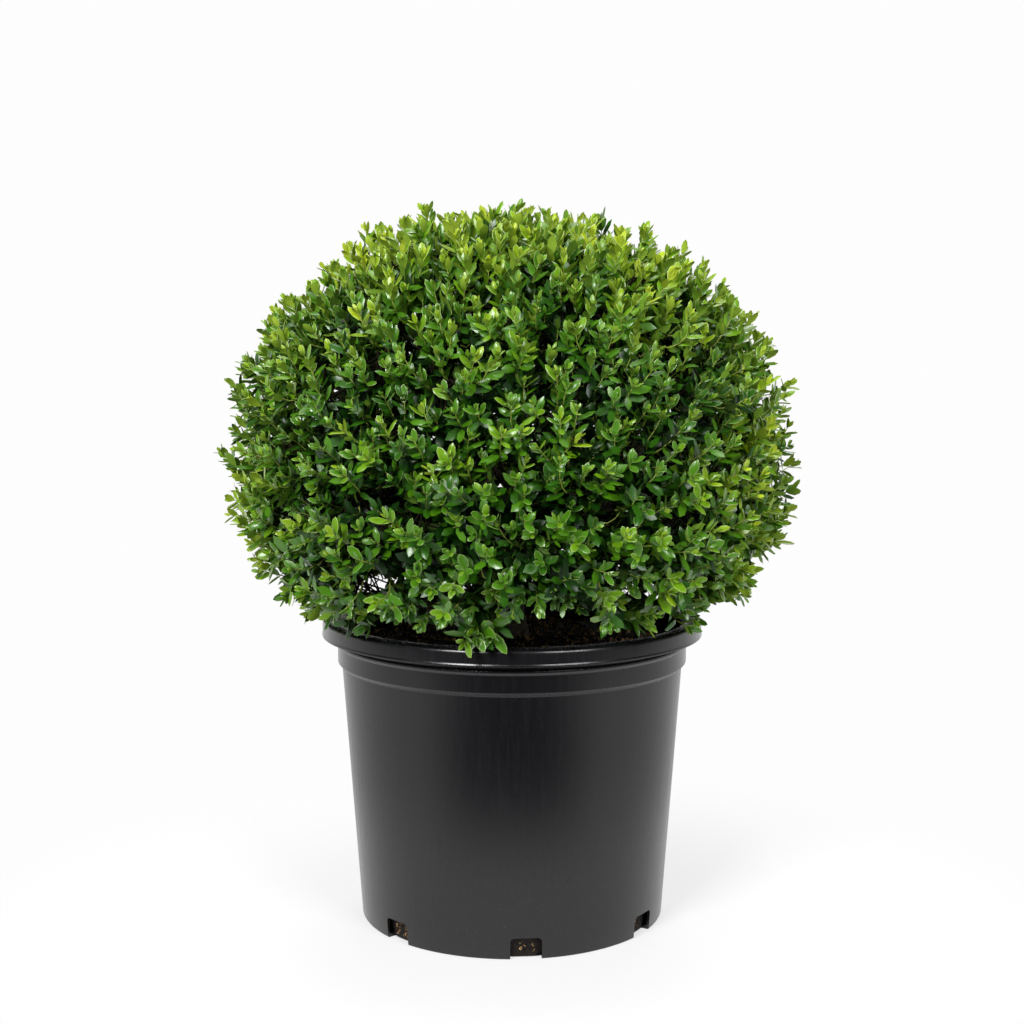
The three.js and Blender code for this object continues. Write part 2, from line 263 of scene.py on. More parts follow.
def mesh_object(name, vertices, triangles, materials, kinds=None, sharp=None):
    """A smooth object from arrays. kinds gives each triangle's material, and sharp tests edges."""
    mesh = bpy.data.meshes.new(name)
    mesh.from_pydata(vertices, [], triangles, shade_flat=False)
    for material in materials:
        mesh.materials.append(material)
    if kinds is not None:
        mesh.polygons.foreach_set("material_index", np.asarray(kinds, dtype=np.int32))
    if sharp is not None:
        ends = np.empty(2 * len(mesh.edges), dtype=np.int32)
        mesh.edges.foreach_get("vertices", ends)
        mesh.edges.foreach_set("use_edge_sharp", sharp(ends.reshape(-1, 2)))
    return link_object(name, mesh)


def bmesh_object(name, shape):
    """An object from a finished bmesh, which is freed."""
    mesh = bpy.data.meshes.new(name)
    shape.to_mesh(mesh)
    shape.free()
    return link_object(name, mesh)


def wall_triangles(rings, sides):
    """Triangles between rings of points, each ring joined to the next."""
    ring, side = np.meshgrid(np.arange(rings - 1), np.arange(sides), indexing="ij")
    a = ring * sides + side
    b = ring * sides + (side + 1) % sides
    return np.stack([a, b, b + sides, a, b + sides, a + sides], -1).reshape(-1, 3)


def tubes(paths, radii, sides):
    """Closed round tubes along paths (count, points, 3), with radii (count, points[, sides])."""
    count, points = paths.shape[:2]
    along = unit(np.gradient(paths, axis=1))
    helper = np.repeat(helper_for(along[:, :1]), points, axis=1)
    across = unit(np.cross(helper, along))
    other = np.cross(along, across)
    turn = FULL_TURN * np.arange(sides) / sides
    ring = np.cos(turn)[:, None] * across[:, :, None] + np.sin(turn)[:, None] * other[:, :, None]
    vertices = paths[:, :, None] + radii.reshape(count, points, -1, 1) * ring
    fan = np.arange(1, sides - 1)
    foot = np.stack([0 * fan, fan + 1, fan], -1)
    tip = np.stack([0 * fan, fan, fan + 1], -1) + (points - 1) * sides
    pattern = np.concatenate([wall_triangles(points, sides), foot, tip])
    offsets = np.arange(count)[:, None, None] * points * sides
    return vertices.reshape(-1, 3), (pattern + offsets).reshape(-1, 3)


def rounded(corners):
    """A profile of (radius, height, rounding) corners, with each rounding drawn as a short arc."""
    points = []
    for index, (radius, height, rounding) in enumerate(corners):
        here = np.array([radius, height])
        if not rounding or index in (0, len(corners) - 1):
            points.append(here)
            continue
        before = unit(np.array(corners[index - 1][:2]) - here)
        after = unit(np.array(corners[index + 1][:2]) - here)
        half = math.acos(np.clip(before @ after, -1, 1)) / 2
        run = rounding / math.tan(half)
        arc = np.array([[here + before * run, here, here + after * run]])
        points.extend(bezier(arc, np.linspace(0, 1, ARC_POINTS)))
    return np.array(points)


def turned(profile, segments):
    """Triangles of a profile of (radius, height) turned about the upright axis, closed on it."""
    side = np.arange(segments)
    beside = (side + 1) % segments
    turn = FULL_TURN * side / segments
    radius, height = profile[1:-1, :1], profile[1:-1, 1:]
    rings = np.stack([radius * np.cos(turn), radius * np.sin(turn), height + 0 * turn], -1)
    vertices = np.concatenate([rings.reshape(-1, 3), UP * profile[[0, -1], 1:]])
    first, last = len(vertices) - 2, len(vertices) - 1
    top = (len(rings) - 1) * segments
    under = np.stack([0 * side + first, beside, side], -1)
    over = np.stack([0 * side + last, top + side, top + beside], -1)
    return vertices, np.concatenate([wall_triangles(len(rings), segments), under, over])


def finish_piece(piece, slot, *nodes):
    """Rides the piece on the plant, in place of the solids that it stands for."""
    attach(piece, "root")
    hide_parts(*nodes)


# Materials


# The inputs of a Map Range node, in order.
RANGE = ("Value", "From Min", "From Max", "To Min", "To Max")


def set_inputs(tree, node, inputs):
    """Gives each named input a value, or a link from another node's socket."""
    for key, value in inputs.items():
        if isinstance(value, bpy.types.NodeSocket):
            tree.links.new(value, node.inputs[key])
        else:
            node.inputs[key].default_value = value


def add_node(tree, kind, inputs=None, **settings):
    """Adds a node with its settings and its inputs."""
    node = tree.nodes.new(kind)
    for key, value in settings.items():
        setattr(node, key, value)
    set_inputs(tree, node, inputs or {})
    return node


def shaded(name, values):
    """A material with one Principled shader. Returns it, its node tree and the shader."""
    material = bpy.data.materials.new(name)
    material.use_nodes = True
    tree = material.node_tree
    shader = tree.nodes["Principled BSDF"]
    set_inputs(tree, shader, values)
    return material, tree, shader


def moulded_polyethylene(pot):
    """Black polyethylene from a polished mould: a satin skin with flow lines, rubs and dust.

    The mould's grain is finer than a millimetre, and is drawn coarser so that it shows.
    """
    material, tree, shader = shaded("polyethylene_black_moulded", {"IOR": 1.54})
    place = add_node(tree, "ShaderNodeTexCoord").outputs["Object"]
    drawn_out = {"Vector": place, "Scale": (1 / (3 * MM), 1 / (3 * MM), 1 / (80 * MM))}
    stretched = add_node(tree, "ShaderNodeMapping", drawn_out).outputs["Vector"]
    noises = []
    for vector, scale, detail, roughness in (
        (place, 1 / (1.4 * MM), 3.0, 0.6),
        (stretched, 1.0, 4.0, 0.65),
        (place, 1 / (1.5 * MM), 5.0, 0.75),
    ):
        inputs = {"Vector": vector, "Scale": scale, "Detail": detail, "Roughness": roughness}
        noises.append(add_node(tree, "ShaderNodeTexNoise", inputs).outputs["Fac"])
    grain, flow, worn = noises
    level = add_node(tree, "ShaderNodeSeparateXYZ", {"Vector": place}).outputs["Z"]
    dusty = add_node(tree, "ShaderNodeMapRange", dict(zip(RANGE, (level, 0.0, 90 * MM, 0.6, 0.2))))
    rubbed = dict(zip(RANGE, (worn, 0.6, 0.82, 0.0, dusty.outputs["Result"])))
    rub = add_node(tree, "ShaderNodeMapRange", rubbed).outputs["Result"]
    tints = {"Factor": rub, "A": (*pot.plastic, 1.0), "B": (*pot.scuff, 1.0)}
    tint = add_node(tree, "ShaderNodeMix", tints, data_type="RGBA")
    satin = add_node(tree, "ShaderNodeMapRange", dict(zip(RANGE, (flow, 0.3, 0.7, 0.21, 0.3))))
    height = add_node(tree, "ShaderNodeMath", {0: grain, 1: 0.15, 2: flow}, operation="MULTIPLY_ADD")
    relief = {"Strength": 0.03, "Distance": 0.3 * MM, "Height": height.outputs["Value"]}
    bump = add_node(tree, "ShaderNodeBump", relief)
    skin = {"Base Color": tint.outputs["Result"], "Roughness": satin.outputs["Result"]}
    set_inputs(tree, shader, skin | {"Normal": bump.outputs["Normal"]})
    return material


def patchy_bark(name, finish, tints, noise, contrast, relief):
    """A rough skin of two tints, where the lighter patches stand out from the darker ground."""
    material, tree, shader = shaded(name, finish)
    place = add_node(tree, "ShaderNodeTexCoord").outputs["Object"]
    patches = add_node(tree, "ShaderNodeTexNoise", {"Vector": place, **noise}).outputs["Fac"]
    light = add_node(tree, "ShaderNodeMapRange", dict(zip(RANGE, (patches, *contrast))))
    mixed = {"Factor": light.outputs["Result"], "A": (*tints[0], 1.0), "B": (*tints[1], 1.0)}
    tint = add_node(tree, "ShaderNodeMix", mixed, data_type="RGBA")
    bump = add_node(tree, "ShaderNodeBump", {"Height": patches, **relief})
    set_inputs(tree, shader, {"Base Color": tint.outputs["Result"], "Normal": bump.outputs["Normal"]})
    return material


def composted_bark(name, dark, light, patch):
    """Moist composted bark: crumbs of a dark tint with lighter, drier patches of a given size."""
    return patchy_bark(
        name,
        {"IOR": 1.4, "Roughness": 0.8},
        (dark, light),
        {"Scale": 1 / patch, "Detail": 6.0, "Roughness": 0.7},
        (0.47, 0.6),
        {"Strength": 0.8, "Distance": 1.5 * MM},
    )


def holly_bark(crown):
    """Thin holly bark: smooth grey-brown skin with pale raised pores in short bands."""
    return patchy_bark(
        "holly_bark_grey",
        {"IOR": 1.45, "Roughness": 0.78},
        (crown.bark, crown.bark_pale),
        {"Scale": 1 / (3.5 * MM), "Detail": 5.0, "Roughness": 0.65},
        (0.4, 0.72),
        {"Strength": 0.7, "Distance": 0.6 * MM},
    )


def plain_growth(name, base, roughness, coat):
    """Living skin of one plain tint: a waxy coat gives leaves and shoots their shine."""
    values = {
        "Base Color": (*base, 1.0),
        "Roughness": roughness,
        "IOR": 1.45,
        "Specular IOR Level": 0.4 if coat else 0.15,
        "Coat Weight": coat,
        "Coat Roughness": 0.27,
    }
    return shaded(name, values)[0]


# The pot and the potting mix


# How far the neck and the top of the wall lie inside the lip.
NECK_INSET = 11.4 * MM
WALL_INSET = 14.5 * MM
# Seeds of the mix's crumbs and of the strewn bark.
CRUMB_SEED = 4
STREW_SEED = 7


def pot_profile(pot):
    """The pot's outline from the middle of its underside, up the outside and down the inside."""
    rim, foot = pot.rim_radius, pot.foot_radius
    neck = rim - NECK_INSET
    wall_top = rim - WALL_INSET
    inner_neck = neck - pot.wall
    shoulder = 187.2 * MM
    lip_foot = 210 * MM
    floor = 2.5 * MM
    lean = (wall_top - foot) / shoulder
    corners = [
        (0, 0, 0),
        (foot, 0, 1.4),
        *((foot + lean * z * MM, z * MM, 0) for z in (17, 30, 70, 110, 150)),
        (wall_top, shoulder, 0.8),
        (neck, 190.2 * MM, 1.3),
        (neck, 202.3 * MM, 0.5),
        (neck + 1.6 * MM, 204.3 * MM, 0.6),
        (neck + 1.6 * MM, 205.5 * MM, 0.5),
        (neck, 206.6 * MM, 0.4),
        (neck + 0.2 * MM, lip_foot, 0.6),
        (rim, lip_foot, 0.6),
        (rim, 211.2 * MM, 0.3),
        (rim - 0.4 * MM, 212.1 * MM, 0.2),
        (rim - 0.4 * MM, pot.height, 3.0),
        (neck + 0.8 * MM, pot.height, 1.2),
        (inner_neck, 216 * MM, 1.5),
        (inner_neck, 192.2 * MM, 0.8),
        (wall_top - pot.wall, 190.8 * MM, 0.8),
        (foot - pot.wall, floor, 1),
        (0, floor, 0),
    ]
    return rounded([(radius, height, rounding * MM) for radius, height, rounding in corners])


def notch_cutter(pot):
    """One mesh of all the drainage notches, each a block with rounded upper corners."""
    half, below, rounding = pot.notch_width / 2, -5 * MM, 3.5 * MM
    top = [(-half, pot.notch_height, rounding), (half, pot.notch_height, rounding)]
    outline = rounded([(-half, below, 0), *top, (half, below, 0)])
    shape = bmesh.new()
    for index in range(pot.notches):
        turn = pot.first_notch + FULL_TURN * index / pot.notches
        out = np.array([math.cos(turn), math.sin(turn), 0])
        side = np.array([-math.sin(turn), math.cos(turn), 0])
        near, far = (
            [shape.verts.new(out * radius + side * x + UP * z) for x, z in outline]
            for radius in (pot.foot_radius - pot.notch_depth, pot.foot_radius + 8 * MM)
        )
        shape.faces.new(near)
        shape.faces.new(far[::-1])
        for here in range(len(outline)):
            after = (here + 1) % len(outline)
            shape.faces.new([near[after], near[here], far[here], far[after]])
    bmesh.ops.recalc_face_normals(shape, faces=shape.faces)
    return bmesh_object("notches", shape)


def apply_modifiers(piece):
    """Turns the piece's evaluated mesh into its own plain mesh."""
    graph = bpy.context.evaluated_depsgraph_get()
    mesh = bpy.data.meshes.new_from_object(piece.evaluated_get(graph))
    piece.modifiers.clear()
    old = piece.data
    piece.data = mesh
    mesh.name = piece.name
    bpy.data.meshes.remove(old)


def remove_object(item):
    """Removes a helper object and its mesh."""
    mesh = item.data
    bpy.data.objects.remove(item)
    bpy.data.meshes.remove(mesh)


class HOLLY_OT_pot(bpy.types.Operator):
    """Turns the nursery pot and cuts its drainage notches"""

    bl_idname = "holly.pot"
    bl_label = "Nursery Pot"

    def execute(self, context):
        pot = context.scene.holly.pot
        shape = turned(pot_profile(pot), POT_SEGMENTS)
        piece = mesh_object("nursery_pot", *shape, [moulded_polyethylene(pot)])
        cutter = notch_cutter(pot)
        cut = piece.modifiers.new("Notches", "BOOLEAN")
        cut.operation = "DIFFERENCE"
        cut.solver = "EXACT"
        cut.object = cutter
        apply_modifiers(piece)
        remove_object(cutter)
        piece.data.shade_smooth()
        piece.data.set_sharp_from_angle(angle=CREASE)
        finish_piece(piece, "pot", "pot")
        return {"FINISHED"}


def mix_profile(pot, mix):
    """The outline of the mix, drawn in at the foot behind the notches."""
    inside = pot.wall + 0.4 * MM
    neck = pot.rim_radius - NECK_INSET - inside
    wall_top = pot.rim_radius - WALL_INSET - 0.3 * MM - inside
    foot = pot.foot_radius - inside
    floor = 2.9 * MM
    points = [
        (0, floor),
        (foot - 17 * MM, floor),
        (foot - 4 * MM, floor),
        (foot - 3.5 * MM, 10 * MM),
        (foot + 1 * MM, 19 * MM),
        (wall_top, 190 * MM),
        (neck, 192.6 * MM),
        (neck, mix.edge_height),
        (neck - 12 * MM, mix.edge_height + 1 * MM),
        (80 * MM, mix.edge_height + 2.5 * MM),
        (40 * MM, mix.top_height - 1.5 * MM),
        (24 * MM, mix.top_height),
        (0, mix.top_height),
    ]
    return np.array(points)


def bark_chip(rng):
    """An irregular splinter of bark, one unit long."""
    shape = bmesh.new()
    for point in rng.uniform(-0.5, 0.5, (16, 3)) * (1.0, 0.55, 0.3):
        shape.verts.new(point)
    hull = bmesh.ops.convex_hull(shape, input=shape.verts)
    bmesh.ops.delete(shape, geom=hull["geom_interior"], context="VERTS")
    return bmesh_object("bark_chip", shape)


def scatter_tree():
    """Geometry nodes that strew turned copies of a chip over a surface."""
    tree = bpy.data.node_groups.new("Strewn Bark", "GeometryNodeTree")
    kinds = {"Surface": "Geometry", "Chip": "Object", "Density": "Float", "Size": "Float"}
    for name, kind in (kinds | {"Seed": "Int", "Material": "Material"}).items():
        tree.interface.new_socket(name=name, in_out="INPUT", socket_type=f"NodeSocket{kind}")
    tree.interface.new_socket(name="Bark", in_out="OUTPUT", socket_type="NodeSocketGeometry")
    given = add_node(tree, "NodeGroupInput").outputs
    spread = {"Mesh": given["Surface"], "Density": given["Density"], "Seed": given["Seed"]}
    points = add_node(tree, "GeometryNodeDistributePointsOnFaces", spread)
    turns = {1: (6.28, 6.28, 6.28), "Seed": given["Seed"]}
    turn = add_node(tree, "FunctionNodeRandomValue", turns, data_type="FLOAT_VECTOR")
    shares = {0: (0.4, 0.5, 0.5), 1: (1.5, 1.3, 1.4)}
    share = add_node(tree, "FunctionNodeRandomValue", shares, data_type="FLOAT_VECTOR")
    scaled = {0: share.outputs["Value"], "Scale": given["Size"]}
    size = add_node(tree, "ShaderNodeVectorMath", scaled, operation="SCALE")
    chip = add_node(tree, "GeometryNodeObjectInfo", {"Object": given["Chip"]})
    copies = {
        "Points": points.outputs["Points"],
        "Instance": chip.outputs["Geometry"],
        "Rotation": turn.outputs["Value"],
        "Scale": size.outputs["Vector"],
    }
    strewn = add_node(tree, "GeometryNodeInstanceOnPoints", copies).outputs["Instances"]
    real = add_node(tree, "GeometryNodeRealizeInstances", {"Geometry": strewn}).outputs["Geometry"]
    skin = {"Geometry": real, "Material": given["Material"]}
    coloured = add_node(tree, "GeometryNodeSetMaterial", skin)
    add_node(tree, "NodeGroupOutput", {"Bark": coloured.outputs["Geometry"]})
    return tree


def strew(surface, values):
    """Runs the scatter tree on a surface and keeps the result as that object's mesh."""
    tree = scatter_tree()
    modifier = surface.modifiers.new("Strewn Bark", "NODES")
    modifier.node_group = tree
    for socket in tree.interface.items_tree:
        if socket.in_out == "INPUT" and socket.name in values:
            modifier[socket.identifier] = values[socket.name]
    apply_modifiers(surface)
    bpy.data.node_groups.remove(tree)


class HOLLY_OT_potting_mix(bpy.types.Operator):
    """Fills the pot with mix and strews pieces of bark on it"""

    bl_idname = "holly.potting_mix"
    bl_label = "Potting Mix"

    def execute(self, context):
        holly = context.scene.holly
        mix, pot = holly.mix, holly.pot
        rng = np.random.default_rng(CRUMB_SEED)
        skin = composted_bark("potting_mix_composted", mix.peat, mix.bark, 4 * MM)
        bark = composted_bark("pine_bark_chipped", mix.peat, mix.dry_bark, 9 * MM)
        profile = mix_profile(pot, mix)
        vertices, triangles = turned(profile, MIX_SEGMENTS)
        crumbs = rng.normal(0, 0.5 * MM, len(vertices))
        # The mix sags to the ground and bulges a little where a notch bares it.
        turn = np.arctan2(vertices[:, 1], vertices[:, 0]) - pot.first_notch
        apart = FULL_TURN / pot.notches
        from_notch = np.abs((turn + apart / 2) % apart - apart / 2) * pot.foot_radius
        outside = np.hypot(vertices[:, 0], vertices[:, 1]) > profile[1, 0] + MM
        facing = outside & (from_notch < pot.notch_width / 2)
        vertices[facing & (vertices[:, 2] < 5 * MM), 2] = 0.4 * MM
        near = facing & (vertices[:, 2] < 11 * MM)
        vertices[near, :2] *= 1 + 0.6 * MM / pot.foot_radius
        open_top = vertices[:, 2] > mix.edge_height + 0.5 * MM
        vertices[:, 2] += np.where(open_top, crumbs, 0)
        body = mesh_object("mix_body", vertices, triangles, [skin])
        finish_piece(body, "potting_mix", "potting_mix")

        chip = bark_chip(rng)
        lifted = vertices + np.where(near, 2.5 * MM, 0)[:, None] * UP
        in_view = near & (from_notch < 8.5 * MM)
        for name, place, size, density in (
            ("mix_bark_top", open_top, mix.chip_size, mix.chip_density),
            ("mix_bark_foot", in_view, 0.5 * mix.chip_size, 12 * mix.chip_density),
        ):
            band = triangles[place[triangles].all(axis=1)]
            surface = mesh_object(name, lifted, band, [bark])
            values = {"Chip": chip, "Density": density, "Size": size}
            strew(surface, values | {"Seed": STREW_SEED, "Material": bark})
            finish_piece(surface, "potting_mix", "potting_mix")
        remove_object(chip)
        return {"FINISHED"}


# The limbs


# Rings of masses: how many, their elevation and the azimuth of the first in degrees, and the levels
# in millimetres where their boughs leave the trunk in turn.
MASS_RINGS = ((5, 40, 18, (284, 296)), (8, -6, 10, (232, 254)))
# Shares of the way from the crown's middle to the leaf tips where boughs and the masses' stems end.
BOUGH_END = 0.56
STEM_END = 0.8
TRUNK_FOOT = 206.2 * MM
# How many first twigs there are, the lowest elevation in degrees, and their depth below the surface.
SPRAYS = 126
LOWEST_SPRAY = -35
SPRAY_DEPTH = 26.5 * MM


def reach_along(crown, directions):
    """Distance from the crown's middle to the clipped surface along unit directions."""
    upward = directions[..., 2] > 0
    fullness = np.where(upward, 2.2, 2.0)
    across = np.hypot(directions[..., 0], directions[..., 1]) / crown.radius
    upright = np.abs(directions[..., 2]) / np.where(upward, crown.rise, crown.drop)
    return (across**fullness + upright**fullness) ** (-1 / fullness)


def golden_directions(count, lowest):
    """Directions spread evenly over the globe from straight up to the lowest elevation in degrees."""
    index = np.arange(count)
    height = 1 + (math.sin(math.radians(lowest)) - 1) * (index + 0.5) / count
    across = np.sqrt(1 - height**2)
    turn = index * GOLDEN_TURN
    return np.stack([across * np.cos(turn), across * np.sin(turn), height], -1)


def mass_directions():
    """The way that each mass faces, with the height on the trunk where its bough leaves."""
    found = [(UP, None)]
    for count, elevation, first, forks in MASS_RINGS:
        for index in range(count):
            turn = math.radians(first + 360 * index / count)
            lift = math.radians(elevation)
            level = math.cos(lift)
            direction = np.array([level * math.cos(turn), level * math.sin(turn), math.sin(lift)])
            found.append((direction, forks[index % 2] * MM))
    return found


def in_mass(crown, direction, share):
    """A point at a share of the way from the crown's middle to the leaf tips."""
    return UP * crown.middle + direction * share * reach_along(crown, direction)


def trunk_controls(crown):
    """The trunk's middle line, from the mix to the tip of its leader."""
    foot = UP * (TRUNK_FOOT + 0.1 * MM)
    tip = in_mass(crown, UP, BOUGH_END)
    lean = np.array([7, -7, 0]) * MM
    return np.array([foot, foot + 0.4 * (tip - foot), foot + 0.6 * (tip - foot) + lean, tip])


def bough_controls(crown, direction, fork):
    """A bough's middle line: it leaves the trunk steeply and turns out to its mass."""
    line = bezier(trunk_controls(crown)[None], np.linspace(0, 1, 400))
    start = line[np.argmin(np.abs(line[:, 2] - fork))]
    end = in_mass(crown, direction, BOUGH_END)
    outward = unit(direction * (1, 1, 0))
    bend = np.linalg.norm(end - start) / 3
    return np.array([start, start + outward * bend + UP * bend / 2, end - direction * bend, end])


def spray_branches(crown):
    """The first twigs: control points of each one, and the direction of its spray."""
    faces = np.array([direction for direction, _ in mass_directions()])
    sprays = golden_directions(SPRAYS, LOWEST_SPRAY)
    owner = np.argmax(sprays @ faces.T, axis=1)
    controls, kept = [], []
    for mass, face in enumerate(faces):
        numbers = seeded_random(crown.seed + mass)
        for direction in sprays[owner == mass]:
            share = 0.5 + 0.4 * next(numbers)
            # The solids draw one more number here, so the stream keeps step with theirs.
            next(numbers)
            start = in_mass(crown, face, BOUGH_END + (STEM_END - BOUGH_END) * share)
            tip = UP * crown.middle + direction * (reach_along(crown, direction) - SPRAY_DEPTH)
            onward = start + face * 8 * MM + (tip - start) * 0.25
            controls.append([start, onward, tip - direction * 10 * MM, tip])
            kept.append(direction)
    return np.array(controls), np.array(kept)


class HOLLY_OT_limbs(bpy.types.Operator):
    """Grows the trunk and the boughs, with the relief of their bark"""

    bl_idname = "holly.limbs"
    bl_label = "Trunk and Boughs"

    def execute(self, context):
        crown = context.scene.holly.crown
        rng = np.random.default_rng(crown.seed)
        skin = holly_bark(crown)
        steps, sides = 60, 20
        share = np.linspace(0, 1, steps)
        turn = FULL_TURN * np.arange(sides) / sides
        line = bezier(trunk_controls(crown)[None], share)[None]
        taper = crown.trunk_radius + (3 * MM - crown.trunk_radius) * share
        lobes = 0.75 + 0.25 * np.cos(5 * turn)
        flare = 6 * MM * np.exp(-share / 0.05)[:, None] * lobes
        relief = 1 + 0.05 * rng.normal(0, 1, (steps, sides))
        vertices, triangles = tubes(line, ((taper[:, None] + flare) * relief)[None], sides)
        vertices[:, 2] = np.maximum(vertices[:, 2], TRUNK_FOOT)
        finish_piece(mesh_object("trunk_bark", vertices, triangles, [skin]), "bark", "trunk")

        steps, sides = 26, 12
        share = np.linspace(0, 1, steps)
        swell = 1 + 0.6 * np.exp(-share / 0.06)
        taper = (crown.bough_radius + (2.4 * MM - crown.bough_radius) * share) * swell
        lines, radii = [], []
        for direction, fork in mass_directions():
            if fork:
                line = bezier(bough_controls(crown, direction, fork)[None], share)
                line[1:-1] += rng.normal(0, 0.35 * MM, (steps - 2, 3))
                lines.append(line)
                radii.append(taper[:, None] * (1 + 0.06 * rng.normal(0, 1, (steps, sides))))
        boughs = mesh_object("bough_bark", *tubes(np.array(lines), np.array(radii), sides), [skin])
        finish_piece(boughs, "bark", *BOUGH_NODES)
        return {"FINISHED"}


# Shoots and leaves


# Lines through the crown along which the sky shows: two points on each, and its radius.
SKY_LINES = (
    ((-0.088, -0.13, 0.266), (-0.108, 0.12, 0.2285), 0.0085),
    ((-0.100, -0.13, 0.262), (-0.122, 0.12, 0.2235), 0.006),
    ((-0.105, -0.14, 0.283), (-0.128, 0.12, 0.250), 0.004),
)

# Tips of the shoots that hang lower than the rest: over the lip in front and at the left, and behind.
HANGING_TIPS = np.array(
    [
        (-0.023, -0.149, 0.231),
        (-0.031, -0.148, 0.228),
        (-0.014, -0.148, 0.233),
        (-0.024, -0.146, 0.238),
        (-0.098, -0.109, 0.232),
        (-0.139, -0.050, 0.233),
        (-0.152, 0.012, 0.231),
        (-0.127, -0.077, 0.234),
        (-0.112, -0.096, 0.2335),
        (-0.055, 0.128, 0.235),
    ]
)
FRONT_TIPS = 4

# Where the hem of the crown is higher over the pot, how far round each place, and by how much.
BARE_PLACES = (
    ((0.145, -0.06), 45 * MM, 20 * MM),
    ((-0.092, -0.11), 42 * MM, 22 * MM),
    ((0.012, -0.135), 42 * MM, 40 * MM),
)

# Millimetres below the clipped surface between which the shoots of each layer end.
LAYER_DEPTHS = np.array([(4, 25), (24, 52), (60, 125)])
# Heights on the globe, and how much shoots turn up there.
LIFT_BY_HEIGHT = ((-0.6, -0.35, 0.0, 0.5, 0.75, 1.0), (0.0, 0.4, 0.65, 0.95, 0.7, 0.3))
# Levels in the crown, and how much larger or smaller leaves are there.
SIZE_BY_LEVEL = (np.array([230, 300, 400, 500]) * MM, (1.12, 0.97, 0.95, 1.02))
# How far single leaves may stand out of the clipped surface.
STRAY = 6 * MM


def open_places(directions, outer, parent, shoots, rng):
    """Which shoots to leave out: in dark hollows, and here and there below the widest level."""
    hollows = golden_directions(shoots.hollows, -34)
    hollows = unit(hollows + rng.normal(0, 0.12, hollows.shape))
    widths = np.radians(rng.uniform(1.3, 3.1, len(hollows)) * np.clip(1.1 - hollows[:, 2], 0.3, 1.3))
    left_out = outer & (directions @ hollows.T > np.cos(widths)).any(axis=1)
    low = np.clip((0.02 - directions[:, 2]) / 0.5, 0, 1)
    thin = rng.uniform(0.05, 0.45, parent.max() + 1)[parent]
    left_out |= rng.random(len(directions)) < np.where(outer, thin, 0.1) * low
    return left_out


def lowest_leaf(crown, points, clear=1):
    """The level that leaves keep above at each point: lower outside the lip, and higher where bare."""
    radius = np.hypot(points[..., 0], points[..., 1])
    level = crown.underside - np.clip(2 * (radius - crown.skirt_radius), 0, crown.skirt_drop)
    for place, reach, rise in BARE_PLACES:
        near = np.exp(-np.sum((points[..., :2] - place) ** 2, axis=-1) / reach**2)
        level = level + clear * rise * near
    return level


def grow_shoots(holly):
    """Control points of every leafy shoot, its layer from the outside in, and its parent twig."""
    crown, shoots = holly.crown, holly.shoots
    rng = np.random.default_rng(crown.seed + 1)
    branches, sprays = spray_branches(crown)
    layers = (shoots.outer, -37), (shoots.inner, -35), (shoots.core, -32)
    directions = np.concatenate([golden_directions(count, lowest) for count, lowest in layers])
    layer = np.repeat(np.arange(3), [count for count, _ in layers])
    outer = layer == 0
    directions = unit(directions + rng.normal(0, 0.02, directions.shape))
    parent = np.argmax(directions @ sprays.T, axis=1)
    kept = ~open_places(directions, outer, parent, shoots, rng)
    directions, outer, layer, parent = directions[kept], outer[kept], layer[kept], parent[kept]
    count = len(directions)
    height = directions[:, 2]

    # Depths of the tips in millimetres: by layer and by spray, with a few long shoots at the surface.
    clump = rng.uniform(-2, 4, len(sprays))[parent]
    shallow, deep = LAYER_DEPTHS[layer].T
    deep = deep + np.where(outer, 14 * np.clip(0.1 - height, 0, 0.5), 0)
    depth = shallow + clump + (deep - shallow) * rng.random(count) ** 1.2
    long_shoot = outer & (rng.random(count) < 0.04)
    depth = np.where(long_shoot, rng.uniform(-2, 3, count), np.maximum(depth, 4)) * MM
    tip = UP * crown.middle + directions * (reach_along(crown, directions) - depth)[:, None]
    # From its twig each shoot turns up to the light, and stays above the hem.
    lift = shoots.lift * np.interp(height, *LIFT_BY_HEIGHT)
    facing = unit(directions + UP * lift[:, None] + rng.normal(0, 0.22, directions.shape))
    start = bezier(branches[parent], rng.uniform(0.4, 0.98, count) * np.where(layer == 2, 0.4, 1))
    leafy = shoots.leafy_length * rng.uniform(0.8, 1.25, count)
    lean_in = tip - facing * leafy[:, None]
    onward = start + (lean_in - start) * 0.4 + directions * 6 * MM
    controls = np.stack([start, onward, lean_in, tip], 1)
    hem = rng.uniform(2 * MM, 11 * MM, len(sprays))[parent]
    controls[..., 2] = np.maximum(controls[..., 2], lowest_leaf(crown, controls) + hem[:, None])

    directions = unit(HANGING_TIPS - UP * crown.middle)
    hanging = np.argmax(directions @ sprays.T, axis=1)
    start = bezier(branches[hanging], np.full(len(hanging), 0.6))
    lean_in = HANGING_TIPS - unit(directions * (1, 1, 0) - UP * 0.3) * shoots.leafy_length
    hung = np.stack([start, start + (lean_in - start) * 0.5, lean_in, HANGING_TIPS], 1)
    layer = np.append(layer, np.zeros(len(hanging), dtype=int))
    return np.concatenate([controls, hung]), layer, np.append(parent, hanging)


